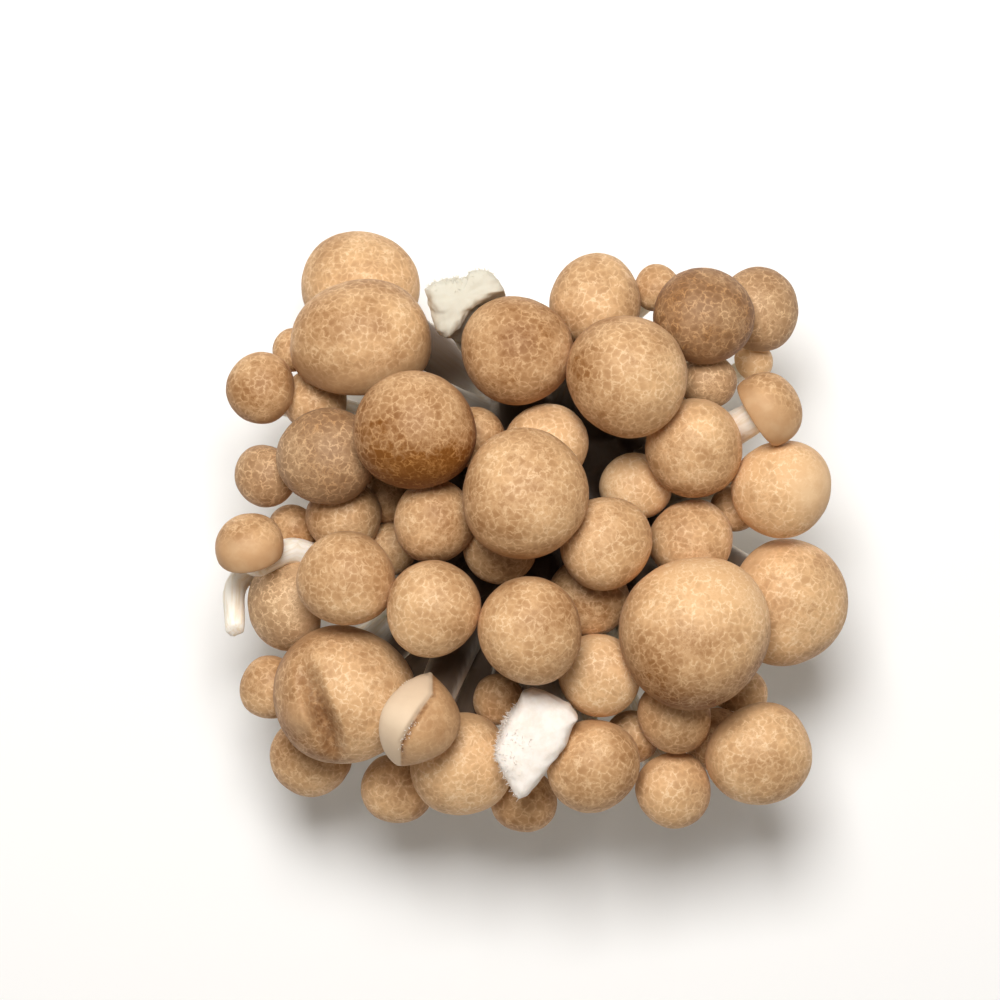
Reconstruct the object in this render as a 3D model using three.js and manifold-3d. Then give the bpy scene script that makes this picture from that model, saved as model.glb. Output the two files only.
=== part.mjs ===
// A cluster of brown beech mushrooms, standing on the cut face of its base.
//
// Fifty-six mushrooms grow from one base. Each cap is a solid of its own; the stems and the base grew
// together, so they are one solid. Millimetres, +Z up, origin at the centre of the cut face.
import * as THREE from 'three';
import { mergeVertices } from 'three/addons/utils/BufferGeometryUtils.js';
import Module from 'manifold-3d';

const wasm = await Module();
wasm.setup();

// ---------------------------------------------------------------- driving dimensions

const crown = {
  height: 62, // centre of a cap standing over the origin
  edgeDrop: 17, // how much lower a cap at the rim of the crown sits
  radius: 50,
  leanPerMm: 0.5, // degrees that a cap leans outward for each millimetre from the axis
};

const base = {
  radius: 28,
  edgeHeight: 12,
  crownHeight: 23, // the butt's top is domed, and the stems rise out of it
  margin: 1, // flesh left outside the outermost feet
  sides: 28,
};

const stem = {
  radiusPerCap: 0.34, // neck radius as a share of the cap's radius
  thinnest: 1.6,
  thickest: 3.7,
  footPerNeck: 1.25,
  footThinnest: 2.2,
  footThickest: 4.2,
  swell: 0.16, // how much thicker it is halfway up, as a share of the neck
  footDepth: 7, // height of the sunk end inside the base
  spread: 0.52, // where a stem is rooted, as a share of its cap's place
  footSpacing: 6.2,
  flare: 0.2, // how far it leans outward at first, as a share of its foot's place
  rise: 0.36, // shares of its length over which it keeps its direction at the foot and at the cap
  fall: 0.3,
  sides: 6,
  rings: 5,
  joints: 9, // points that its route is bent at
};

// A stem that lost its cap ends on a slant, with shreds of flesh round it. Both are shares of its radius.
const torn = {
  sides: 10,
  slant: 0.42,
  shred: 0.12,
  shreds: 3,
};

const touchGap = 0.3; // between a cap and the stem under it, and between neighbours
const weld = 0.01; // corners closer than this become one where solids are joined
const seam = 0.0001; // and closer than this along a seam
const nearby = 0.8; // caps closer than this share of their two radii, seen from above, overlap
const below = 0.25; // and then the later one's middle is lower by this share of the other's radius

// A cap's outline for radius 1, from the middle of its underside up to its crown.
const capTop = 0.94;
const capRim = -0.33;
const capMiddle = (capTop + capRim) / 2;
const capHalf = (capTop - capRim) / 2;
const seatHeight = -0.12;
const seatRadius = 0.4;
const gillDepth = 0.1;
const gillReach = 0.5; // the corners of the gills lie within this radius
const capOutline = [
  [0, seatHeight],
  [seatRadius, seatHeight],
  [0.88, capRim],
  [1, 0.02],
  [0.91, 0.43],
  [0.59, 0.78],
  [0, capTop],
];

// Caps and base are a little out of round. Each wave has its height as a share of the radius, the number
// of times it comes round, and where it starts; a cap's place in the list turns its waves on.
const capWaves = [
  { height: 0.025, lobes: 2, start: 1.7 },
  { height: 0.015, lobes: 3, start: 2.9 },
];
const baseWaves = [
  { height: 0.045, lobes: 3, start: 0.6 },
  { height: 0.03, lobes: 5, start: 2.1 },
];

// The mushrooms, from the top of the heap down: x and y are the middle of the cap, r is its radius.
// lean and towards (degrees, 0 along +X) replace the outward lean, sink is how far a cap stays below the
// crown, and straight is how far its stem keeps to the cap's axis. A cap that meets one listed before it
// hangs lower.
const mushrooms = [
  { x: 26.8, y: -18.5, r: 12.8, lean: 10, towards: 60 },
  { x: -20.6, y: 14.4, r: 10.1, lean: 8, towards: 250 },
  { x: 14.8, y: 23.2, r: 10.2, lean: 14, towards: 250 },
  { x: -1.9, y: 4.9, r: 10.7, lean: 14, towards: 75 },
  { x: -18.4, y: -34.6, r: 8.4, lean: 66, towards: -18, straight: 1 },
  { x: -32.6, y: -31.0, r: 12.0, lean: 18, towards: 280, sink: 3 },
  { x: -1.2, y: -18.9, r: 8.8 },
  { x: -17.7, y: -15.2, r: 8.0 },
  { x: -29.8, y: 32.0, r: 11.7, lean: 46, towards: 95 },
  { x: -3.9, y: 28.9, r: 9.3, lean: 16, towards: 140 },
  { x: 26.7, y: 11.0, r: 8.4, lean: 24, towards: 275 },
  { x: 11.6, y: -3.6, r: 7.9, lean: 12, towards: 80 },
  { x: -32.6, y: -10.2, r: 8.1 },
  { x: 10.8, y: -27.0, r: 7.1 },
  { x: -12.4, y: -43.2, r: 9.0, lean: 30, towards: 290 },
  { x: 41.0, y: 4.7, r: 8.4, lean: 20, towards: 215 },
  { x: 28.6, y: 35.0, r: 8.4, lean: 20, towards: 60 },
  { x: 40.2, y: 19.4, r: 6.2, lean: 76, towards: 32 },
  { x: 44.6, y: -15.0, r: 10.8, lean: 34, towards: 340 },
  { x: 27.0, y: -3.5, r: 7.1, lean: 18, towards: 10 },
  { x: -44.2, y: -15.0, r: 8.2, lean: 70, towards: 186 },
  { x: 38.8, y: 36.6, r: 7.2 },
  { x: 9.8, y: -42.8, r: 8.0, sink: 4 },
  { x: 39.0, y: -41.2, r: 9.0 },
  { x: -31.2, y: 41.6, r: 10.4, lean: 34, towards: 110 },
  { x: 10.2, y: 37.6, r: 8.0 },
  { x: 1.9, y: 13.0, r: 7.2, lean: 20, towards: 60, sink: 5 },
  { x: 17.2, y: 5.5, r: 6.0, sink: 10 },
  { x: -10.6, y: 14.0, r: 5.2, sink: 8 },
  { x: -17.6, y: -0.4, r: 7.0, sink: 8 },
  { x: -6.2, y: -5.0, r: 6.2, sink: 10 },
  { x: 9.0, y: -13.8, r: 6.8, sink: 8 },
  { x: 24.0, y: -34.0, r: 6.5, sink: 8 },
  { x: -6.6, y: -31.4, r: 4.4, sink: 14 },
  { x: -36.2, y: 10.8, r: 8.4, sink: 4 },
  { x: -47.0, y: 7.4, r: 5.4, sink: 8 },
  { x: -47.6, y: 22.6, r: 6.0 },
  { x: -42.0, y: 29.4, r: 3.8, sink: 8 },
  { x: 29.6, y: 23.8, r: 4.8, sink: 6 },
  { x: 38.0, y: 27.4, r: 3.4, sink: 6 },
  { x: -46.4, y: -29.5, r: 5.4, sink: 4 },
  { x: -39.6, y: -42.0, r: 7.2, sink: 2 },
  { x: -24.5, y: -47.6, r: 6.2, sink: 6 },
  { x: 24.0, y: -47.4, r: 6.6, sink: 6 },
  { x: -48.8, y: -3.2, r: 5.9, lean: 62, towards: 98, straight: 16 },
  { x: -33.4, y: 0.4, r: 6.4, sink: 6 },
  { x: -42.4, y: -2.0, r: 4.4, sink: 10 },
  { x: -38.4, y: 20.6, r: 5.6, sink: 8 },
  { x: 31.4, y: -38.6, r: 5.4, sink: 10 },
  { x: -2.0, y: -49.6, r: 5.6, sink: 4 },
  { x: 16.8, y: -38.0, r: 4.6, sink: 12 },
  { x: -26.2, y: 3.8, r: 4.6, sink: 14 },
  { x: -25.2, y: -5.2, r: 4.6, sink: 14 },
  { x: 34.6, y: 1.8, r: 4.2, sink: 14 },
  { x: 36.0, y: -31.2, r: 5.0, sink: 12 },
  { x: 20.8, y: 39.8, r: 4.0, sink: 8 },
];

// Two stout stems and a thin one have lost their caps and end in torn flesh.
const tornStems = [
  { x: -3.6, y: -44.2, z: 51, r: 5.0, lean: 66, towards: 236 },
  { x: -13.0, y: 38.4, z: 50, r: 5.4, lean: 46, towards: 116 },
  { x: -51.8, y: -19.5, z: 37, r: 1.8, lean: 70, towards: 232 },
];

// ---------------------------------------------------------------- where everything stands

const radians = THREE.MathUtils.degToRad;

function directionOf(lean, towards) {
  const tilt = radians(lean);
  const turn = radians(towards);
  return new THREE.Vector3(
    Math.sin(tilt) * Math.cos(turn),
    Math.sin(tilt) * Math.sin(turn),
    Math.cos(tilt),
  );
}

function crownHeightAt(x, y) {
  return crown.height - crown.edgeDrop * (x * x + y * y) / (crown.radius * crown.radius);
}

// How far a cap reaches from its middle along a direction.
function reachOf(cap, direction) {
  const along = direction.dot(cap.axis);
  return cap.r * Math.sqrt(1 - along * along * (1 - capHalf * capHalf));
}

function matrixOf({ origin, axis }) {
  const turn = new THREE.Quaternion().setFromUnitVectors(new THREE.Vector3(0, 0, 1), axis);
  return new THREE.Matrix4().compose(origin, turn, new THREE.Vector3(1, 1, 1));
}

// The space that others leave to a cap: its own shape, grown by the gap on every side.
function roomGeometry(r, index) {
  const middle = capMiddle * r;
  const half = capHalf * r;
  const wider = (r + touchGap) / r;
  const taller = (half + touchGap) / half;
  const room = capGeometry(r, index).translate(0, 0, -middle);
  return room.scale(wider, wider, taller).translate(0, 0, middle);
}

function setHeight(cap, height) {
  cap.centre.z = height;
  cap.origin = cap.centre.clone().addScaledVector(cap.axis, -capMiddle * cap.r);
  cap.solid = cap.body.transform(matrixOf(cap).elements);
}

// A cap meets one placed before it where it touches its room, or where it would stand over it.
function meets(cap, other) {
  const corner = 1.1; // reach of a cap's rim from its middle, for radius 1
  const between = cap.centre.clone().sub(other.centre);
  const radii = cap.r + other.r;
  const aside = Math.hypot(between.x, between.y);
  if (aside < radii * nearby && between.z > -other.r * below) return true;
  if (between.length() > radii * corner + touchGap) return false;
  return cap.solid.intersect(other.room).volume() > 0;
}

// Each cap starts at the crown's height and is let down until it clears those above it.
function placeCaps() {
  const step = 0.5;
  const placed = [];
  mushrooms.forEach(({ x, y, r, lean, towards, sink = 0, straight }, index) => {
    const outward = THREE.MathUtils.radToDeg(Math.atan2(y, x));
    const axis = directionOf(lean ?? crown.leanPerMm * Math.hypot(x, y), towards ?? outward);
    const centre = new THREE.Vector3(x, y, 0);
    const cap = { r, axis, centre, straight, body: solidOf(capGeometry(r, index)) };
    let height = crownHeightAt(x, y) - sink;
    for (setHeight(cap, height); placed.some((other) => meets(cap, other)); setHeight(cap, height)) {
      height -= step;
    }
    cap.room = solidOf(roomGeometry(r, index)).transform(matrixOf(cap).elements);
    cap.seat = cap.origin.clone().addScaledVector(axis, seatHeight * r);
    cap.stemRadius = THREE.MathUtils.clamp(stem.radiusPerCap * r, stem.thinnest, stem.thickest);
    placed.push(cap);
  });
  return placed;
}

// The feet keep a spacing inside the base, each as near as it can be to the line below its cap.
function placeFeet(tops) {
  const passes = 120;
  const edge = base.radius - stem.thickest - base.margin;
  const feet = tops.map(({ x, y }) => new THREE.Vector2(x, y).multiplyScalar(stem.spread));
  for (let pass = 0; pass < passes; pass++) {
    for (let i = 0; i < feet.length; i++) {
      for (let j = 0; j < i; j++) {
        const apart = feet[i].clone().sub(feet[j]);
        const short = stem.footSpacing - apart.length();
        if (short <= 0) continue;
        apart.setLength(short / 2);
        feet[i].add(apart);
        feet[j].sub(apart);
      }
    }
    for (const foot of feet) foot.clampLength(0, edge);
  }
  return feet;
}

// A stem rises from its foot, bends round the caps in its way and meets its seat along the cap's axis.
function routeStem(foot, top, { axis, stemRadius: radius, straight }, obstacles) {
  const passes = 80;
  const stiffness = 0.15;
  const give = 0.6; // share of what a cap is in the way that a point steps aside in one pass
  const start = new THREE.Vector3(foot.x, foot.y, stem.footDepth);
  const length = start.distanceTo(top);
  const outward = new THREE.Vector3(foot.x * stem.flare, foot.y * stem.flare, length * stem.rise);
  const rise = start.clone().add(outward);
  const fall = top.clone().addScaledVector(axis, -(straight ?? length * stem.fall));
  const points = new THREE.CubicBezierCurve3(start, rise, fall, top).getPoints(stem.joints);
  const last = points.length - 1;
  for (let pass = 0; pass < passes; pass++) {
    for (let i = 2; i < last; i++) {
      const middle = points[i - 1].clone().add(points[i + 1]).multiplyScalar(0.5);
      if (i < last - 1) points[i].lerp(middle, stiffness);
      for (const cap of obstacles) {
        const away = points[i].clone().sub(cap.centre);
        const distance = away.length();
        const room = reachOf(cap, away.clone().divideScalar(distance)) + radius + touchGap;
        if (distance >= room) continue;
        away.z = 0;
        points[i].add(away.setLength((room - distance) * give));
      }
    }
  }
  return new THREE.CatmullRomCurve3(points, false, 'centripetal');
}

// ---------------------------------------------------------------- solids

function solidOf(geometry) {
  const bare = geometry.clone();
  bare.deleteAttribute('normal');
  bare.deleteAttribute('uv');
  const merged = mergeVertices(bare, seam);
  const mesh = new wasm.Mesh({
    numProp: 3,
    vertProperties: merged.attributes.position.array,
    triVerts: new Uint32Array(merged.index.array),
  });
  return new wasm.Manifold(mesh);
}

function geometryOf(solid) {
  const { vertProperties, triVerts } = solid.getMesh();
  const geometry = new THREE.BufferGeometry();
  geometry.setAttribute('position', new THREE.BufferAttribute(vertProperties, 3));
  geometry.setIndex(new THREE.BufferAttribute(triVerts, 1));
  geometry.computeVertexNormals();
  return geometry;
}

// Merges the corners of a joined solid that almost meet, and drops the slivers that this flattens.
function weldSlivers(geometry) {
  geometry.deleteAttribute('normal');
  const welded = mergeVertices(geometry, weld);
  const corners = welded.index.array;
  const kept = new Map();
  for (let i = 0; i < corners.length; i += 3) {
    const triangle = [...corners.slice(i, i + 3)];
    if (new Set(triangle).size < 3) continue;
    const key = [...triangle].sort((a, b) => a - b).join();
    if (kept.has(key)) kept.delete(key);
    else kept.set(key, triangle);
  }
  welded.setIndex([...kept.values()].flat());
  welded.computeVertexNormals();
  return welded;
}

// Calls move(point) for every vertex, where point is a THREE.Vector3 that it changes in place.
function moveVertices(geometry, move) {
  const places = geometry.attributes.position;
  const point = new THREE.Vector3();
  for (let i = 0; i < places.count; i++) {
    point.fromBufferAttribute(places, i);
    move(point);
    places.setXYZ(i, point.x, point.y, point.z);
  }
  return geometry;
}

function latheOf(outline, sides) {
  const points = outline.map(([radius, height]) => new THREE.Vector2(radius, height));
  return new THREE.LatheGeometry(points, sides).rotateX(Math.PI / 2);
}

function sidesOf(r) {
  if (r > 9) return 20;
  return r > 6 ? 16 : 12;
}

function outOfRound(turn, waves, turnedOn = 1) {
  return waves.reduce((share, { height, lobes, start }) => {
    return share + height * Math.sin(lobes * turn + start * turnedOn);
  }, 1);
}

// A cap about its own axis: a little out of round, with gills that fade from the stem out to the rim.
function capGeometry(r, index) {
  const sides = sidesOf(r);
  const geometry = latheOf(capOutline, sides);
  moveVertices(geometry, (point) => {
    const turn = Math.atan2(point.y, point.x);
    const radius = Math.hypot(point.x, point.y);
    const onGills = point.z < 0 && radius > 0 && radius < gillReach;
    const side = Math.round((turn + Math.PI / 2) * sides / (2 * Math.PI));
    const wavy = outOfRound(turn, capWaves, index);
    point.x *= wavy;
    point.y *= wavy;
    if (onGills && side % 2 !== 0) point.z += gillDepth;
  });
  return geometry.scale(r, r, r);
}

function capMesh(cap, index) {
  const skin = new THREE.MeshStandardMaterial({ color: 0xd9a873, roughness: 0.62, metalness: 0 });
  const mesh = new THREE.Mesh(capGeometry(cap.r, index), skin);
  mesh.name = `cap_${String(index + 1).padStart(2, '0')}`;
  mesh.position.copy(cap.origin);
  mesh.quaternion.setFromUnitVectors(new THREE.Vector3(0, 0, 1), cap.axis);
  return mesh;
}

// A closed round bar along +Z from 0 to 1, bent onto a route. radiusAt gives its radius at each share.
// tornAt gives how far beyond the route its end stands at each turn.
function barAlong(route, radiusAt, sides, rings, tornAt) {
  const frames = [];
  const across = new THREE.Vector3(1, 0, 0);
  for (let i = 0; i <= rings; i++) {
    const forward = route.getTangentAt(i / rings);
    across.addScaledVector(forward, -across.dot(forward)).normalize();
    const side = forward.clone().cross(across);
    frames.push({ place: route.getPointAt(i / rings), across: across.clone(), side, forward });
  }
  const wall = frames.map((_, i) => [radiusAt(i / rings), i / rings]);
  const bar = latheOf([[0, 0], ...wall, [0, 1]], sides);
  return moveVertices(bar, (point) => {
    const ring = Math.round(point.z * rings);
    const { place, across: a, side: b, forward } = frames[ring];
    const { x, y } = point;
    const onEnd = ring === rings && Math.hypot(x, y) > 0;
    point.copy(place).addScaledVector(a, x).addScaledVector(b, y);
    if (onEnd) point.addScaledVector(forward, tornAt(Math.atan2(y, x)));
  });
}

function stemRadiusAt(share, neck) {
  const foot = THREE.MathUtils.clamp(neck * stem.footPerNeck, stem.footThinnest, stem.footThickest);
  return THREE.MathUtils.lerp(foot, neck, share) + stem.swell * neck * Math.sin(Math.PI * share);
}

function tearAt(turn, radius) {
  return radius * (torn.slant * Math.cos(turn) + torn.shred * Math.sin(torn.shreds * turn));
}

function baseGeometry() {
  const outline = [
    [0, 0],
    [0.88, 0],
    [0.96, 0.12 * base.edgeHeight],
    [1, 0.6 * base.edgeHeight],
    [0.94, base.edgeHeight],
    [0.6, base.crownHeight * 0.84],
    [0, base.crownHeight],
  ];
  return moveVertices(latheOf(outline, base.sides), (point) => {
    const turn = Math.atan2(point.y, point.x);
    const reach = base.radius * outOfRound(turn, baseWaves);
    point.x *= reach;
    point.y *= reach;
  });
}

function stemsOnBase(caps) {
  const ends = tornStems.map(({ x, y, z, r, lean, towards }) => {
    const axis = directionOf(lean, towards);
    return { seat: new THREE.Vector3(x, y, z), axis, stemRadius: r, isTorn: true };
  });
  const tops = [...caps, ...ends];
  const feet = placeFeet(tops.map(({ seat }) => seat));
  const bars = tops.map((top, i) => {
    const obstacles = caps.filter((cap) => cap !== top);
    const end = top.seat.clone().addScaledVector(top.axis, -touchGap);
    const route = routeStem(feet[i], end, top, obstacles);
    const radiusAt = (share) => stemRadiusAt(share, top.stemRadius);
    const tornAt = (turn) => (top.isTorn ? tearAt(turn, top.stemRadius) : 0);
    return solidOf(barAlong(route, radiusAt, top.isTorn ? torn.sides : stem.sides, stem.rings, tornAt));
  });
  const grown = wasm.Manifold.union([solidOf(baseGeometry()), ...bars]);
  const pressing = caps.filter((cap) => grown.intersect(cap.room).volume() > 0);
  return pressing.reduce((left, cap) => left.subtract(cap.room), grown);
}

// ---------------------------------------------------------------- the cluster

const cluster = new THREE.Group();
const caps = placeCaps();
caps.forEach((cap, index) => cluster.add(capMesh(cap, index)));

const flesh = new THREE.MeshStandardMaterial({ color: 0xf3e9d8, roughness: 0.7, metalness: 0 });
const stems = new THREE.Mesh(weldSlivers(geometryOf(stemsOnBase(caps))), flesh);
stems.name = 'stems_on_base';
cluster.add(stems);

export default cluster;
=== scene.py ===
import math
import random
from collections import Counter
from functools import partial

import bmesh
import bpy
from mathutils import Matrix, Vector, kdtree, noise


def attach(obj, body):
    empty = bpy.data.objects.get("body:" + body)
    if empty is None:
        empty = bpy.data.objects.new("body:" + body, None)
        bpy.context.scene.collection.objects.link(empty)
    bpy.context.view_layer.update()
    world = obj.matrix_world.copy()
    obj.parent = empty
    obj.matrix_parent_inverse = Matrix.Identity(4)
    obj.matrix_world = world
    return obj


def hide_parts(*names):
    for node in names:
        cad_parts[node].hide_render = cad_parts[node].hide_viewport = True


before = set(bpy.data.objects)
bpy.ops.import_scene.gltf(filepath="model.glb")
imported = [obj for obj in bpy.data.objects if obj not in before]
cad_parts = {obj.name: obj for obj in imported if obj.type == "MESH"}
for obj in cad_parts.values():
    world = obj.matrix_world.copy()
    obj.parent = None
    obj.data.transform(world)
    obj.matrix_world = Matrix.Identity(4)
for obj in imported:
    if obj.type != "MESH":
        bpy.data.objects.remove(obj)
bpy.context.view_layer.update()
mm = 0.001
up = Vector((0, 0, 1))
print("frame: %d nodes" % len(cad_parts))


# small tools

def toLinear(hexColour):
    channels = [int(hexColour[i : i + 2], 16) / 255 for i in (0, 2, 4)]
    return [c / 12.92 if c <= 0.04045 else ((c + 0.055) / 1.055) ** 2.4 for c in channels] + [1]


# sets or links the inputs of a node, by name or in order over the sockets in use; a node given as an
# input stands for its first output in use
def fill(node, inputs):
    sockets = [socket for socket in node.inputs if socket.enabled]
    if isinstance(inputs, dict):
        sockets = [next(s for s in sockets if name in (s.identifier, s.name)) for name in inputs]
        inputs = inputs.values()
    for socket, value in zip(sockets, inputs):
        if isinstance(value, bpy.types.Node):
            value = next(output for output in value.outputs if output.enabled)
        if isinstance(value, bpy.types.NodeSocket):
            node.id_data.links.new(value, socket)
        else:
            socket.default_value = toLinear(value) if socket.type == "RGBA" else value


def addNode(tree, kind, settings=None, inputs=()):
    node = tree.nodes.new(kind)
    for name, value in (settings or {}).items():
        setattr(node, name, value)
    fill(node, inputs)
    return node


# kinds of nodes that are used often, with their settings
plus, times, smallest, largest = (
    ("ShaderNodeMath", {"operation": name}) for name in ("ADD", "MULTIPLY", "MINIMUM", "MAXIMUM")
)
eased = ("ShaderNodeMapRange", {"interpolation_type": "SMOOTHSTEP"})
blend = ("ShaderNodeMix", {"data_type": "RGBA"})
between = ("ShaderNodeMix", {"data_type": "FLOAT"})
stored = ("GeometryNodeInputNamedAttribute", {"data_type": "FLOAT"})


def newMaterial(name):
    material = bpy.data.materials.new(name)
    material.use_nodes = True
    tree = material.node_tree
    return material, tree.nodes["Principled BSDF"], partial(addNode, tree)


def smoothStep(low, high, value):
    share = min(max((value - low) / (high - low), 0), 1)
    return share * share * (3 - 2 * share)


def mix(a, b, share):
    return a + (b - a) * share


def directionOf(lean, towards):
    tilt, turn = math.radians(lean), math.radians(towards)
    return Vector((math.sin(tilt) * math.cos(turn), math.sin(tilt) * math.sin(turn), math.cos(tilt)))


def newObject(name, data):
    piece = bpy.data.objects.new(name, data)
    bpy.context.scene.collection.objects.link(piece)
    return piece


def meshObject(name, vertices, faces):
    mesh = bpy.data.meshes.new(name)
    mesh.from_pydata(vertices, [], faces)
    mesh.polygons.foreach_set("use_smooth", [True] * len(mesh.polygons))
    mesh.update()
    return newObject(name, mesh)


# faces of a closed shape: a pole, rings of corners down from it, and the other pole
def closedFaces(rings, sides):
    last = rings * sides + 1
    faces = [(0, 1 + i, 1 + (i + 1) % sides) for i in range(sides)]
    for start in range(1, last - sides, sides):
        for i in range(sides):
            j = (i + 1) % sides
            faces.append((start + i, start + sides + i, start + sides + j, start + j))
    faces += [(last - sides + i, last, last - sides + (i + 1) % sides) for i in range(sides)]
    return faces


def storeValues(mesh, name, values):
    attribute = mesh.attributes.new(name, "FLOAT", "POINT")
    attribute.data.foreach_set("value", values)


def storeVectors(mesh, name, vectors):
    attribute = mesh.attributes.new(name, "FLOAT_VECTOR", "POINT")
    attribute.data.foreach_set("vector", [c for vector in vectors for c in vector])


# what the modifiers of an object make of it, as a plain mesh in a new object
def bakedCopy(piece, name):
    bpy.context.view_layer.update()
    evaluated = piece.evaluated_get(bpy.context.evaluated_depsgraph_get())
    mesh = bpy.data.meshes.new_from_object(evaluated)
    mesh.name = name
    copy = newObject(name, mesh)
    bpy.data.objects.remove(piece)
    return copy


def keep(piece, slot, *nodes):
    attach(piece, "root")
    if nodes:
        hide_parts(*nodes)


# camera and studio

view = {
    "lens": 135,
    "sensor": 36,
    "nearest": 0.01,
    "over": (-6.2 * mm, 3.2 * mm),  # what it looks straight down on
    "height": 680 * mm,
}
studio = {
    "skyStrength": 0.27,
    "skyColour": "fff8f0",
    "lampPower": 6.1,
    "lampSize": 300 * mm,
    "lampPlace": (-0.04, 0.27, 0.74),  # beside the camera, so that domes darken towards their rims
    "floorRadius": 1.6,
    "floorColour": "f9f8f6",
    "floorRoughness": 0.9,
    "tentColour": "f4f3f1",
    "sides": 96,
    "tentRings": 12,
}


def setUpStudio():
    scene = bpy.context.scene
    scene.view_settings.view_transform = "Standard"
    lens = bpy.data.cameras.new("camera")
    lens.lens = view["lens"]
    lens.sensor_width = view["sensor"]
    lens.clip_start = view["nearest"]
    scene.camera = newObject("camera", lens)
    scene.camera.location = (*view["over"], view["height"])

    world = bpy.data.worlds.new("white tent")
    scene.world = world
    world.use_nodes = True
    sky = world.node_tree.nodes["Background"]
    fill(sky, {"Color": studio["skyColour"], "Strength": studio["skyStrength"]})

    lamp = bpy.data.lights.new("softbox", "AREA")
    lamp.energy = studio["lampPower"]
    lamp.size = studio["lampSize"]
    softbox = newObject("softbox", lamp)
    softbox.location = studio["lampPlace"]
    softbox.rotation_mode = "QUATERNION"
    softbox.rotation_quaternion = Vector(studio["lampPlace"]).to_track_quat("Z", "Y")

    sides = studio["sides"]
    rim = [i * 2 * math.pi / sides for i in range(sides)]
    reach = studio["floorRadius"]
    floor = meshObject("floor", [(reach * math.cos(a), reach * math.sin(a), 0) for a in rim], [range(sides)])
    paper, shader, _ = newMaterial("matt paper")
    fill(shader, {"Base Color": studio["floorColour"], "Roughness": studio["floorRoughness"]})
    floor.data.materials.append(paper)

    # a white tent round it all, seen by the camera and giving no light
    turns = [i * math.pi / 2 / studio["tentRings"] for i in range(studio["tentRings"])]
    rings = [(reach * math.cos(a), reach * math.sin(a)) for a in turns]
    places = [(across * math.cos(a), across * math.sin(a), height) for across, height in rings for a in rim]
    faces = []
    for start in range(0, (len(rings) - 1) * sides, sides):
        for i in range(sides):
            j = (i + 1) % sides
            faces.append((start + j, start + i, start + sides + i, start + sides + j))
    faces.append(tuple(reversed(range((len(rings) - 1) * sides, len(places)))))
    tent = meshObject("tent", places, faces)
    cloth, shader, _ = newMaterial("lit cloth")
    fill(shader, {"Base Color": "000000", "Emission Color": studio["tentColour"], "Emission Strength": 1})
    tent.data.materials.append(cloth)
    tent.visible_diffuse = False
    tent.visible_glossy = False
    tent.visible_transmission = False
    tent.visible_shadow = False


setUpStudio()
print("studio")


# cap skin: the dry, matt skin of a beech mushroom, light brown with a pale net parting darker cells
skin = {
    "paleCell": "dfb382",
    "darkCell": "7c4915",
    "paleNet": "f3d3a9",
    "darkNet": "b17c44",
    "greyCell": "8f7358",
    "smoothSkin": "e2bb90",
    "darkSmooth": "a8713c",
    # painted shade for folds and cracks in caps
    "hollow": "5e3411",
    "underside": "f0e0c6",
    "cell": 1.35 * mm,
    "smallCell": 0.85 * mm,
    "wander": 1.8 * mm,  # how far the net's lines stray, from one side to the other
    "strayLength": 1.3 * mm,
    "strayDetail": 3,
    "strayRoughness": 0.62,
    "mostSmooth": 0.75,
    "grain": 0.3 * mm,
    "grainBump": {"Distance": 0.03 * mm, "Strength": 0.7},
    "finish": {"Specular IOR Level": 0.25, "Sheen Weight": 0.02, "Sheen Roughness": 0.4},
}
# what varies over the skin: size and detail of the noise it follows, the range used of it, what that becomes
skinNoises = {
    "worn": (1.2 * mm, 2, 0.38, 0.62, 0.15, 1),
    "patchy": (5 * mm, 2, 0.42, 0.66),
    "patches": (9 * mm, 3, 0.3, 0.7, -0.22, 0.22),
    "bareness": (2.6 * mm, 4, 0.35, 0.7),
    # noise that breaks up the painted shade in folds and cracks
    "torn": (0.9 * mm, 2, 0.3, 0.6, 0.4, 1),
}
# the same for what follows the net's cells or the height on the cap
skinRanges = {
    "line": (0, 0.13, 0.88, 0),
    "fineLine": (0, 0.14, 0.5, 0),
    "middle": (0.02, 0.4, -0.05, 0.1),
    "ownShade": (0, 1, -0.06, 0.07),
    "textured": (0, 0.3, 0.6, 1),
    "rimTone": (0, 0.35, 0.12, 0),  # painted shade: how much darker the rim is than the crown
    "roughness": (0, 1, 0.6, 0.52),
}


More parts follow.
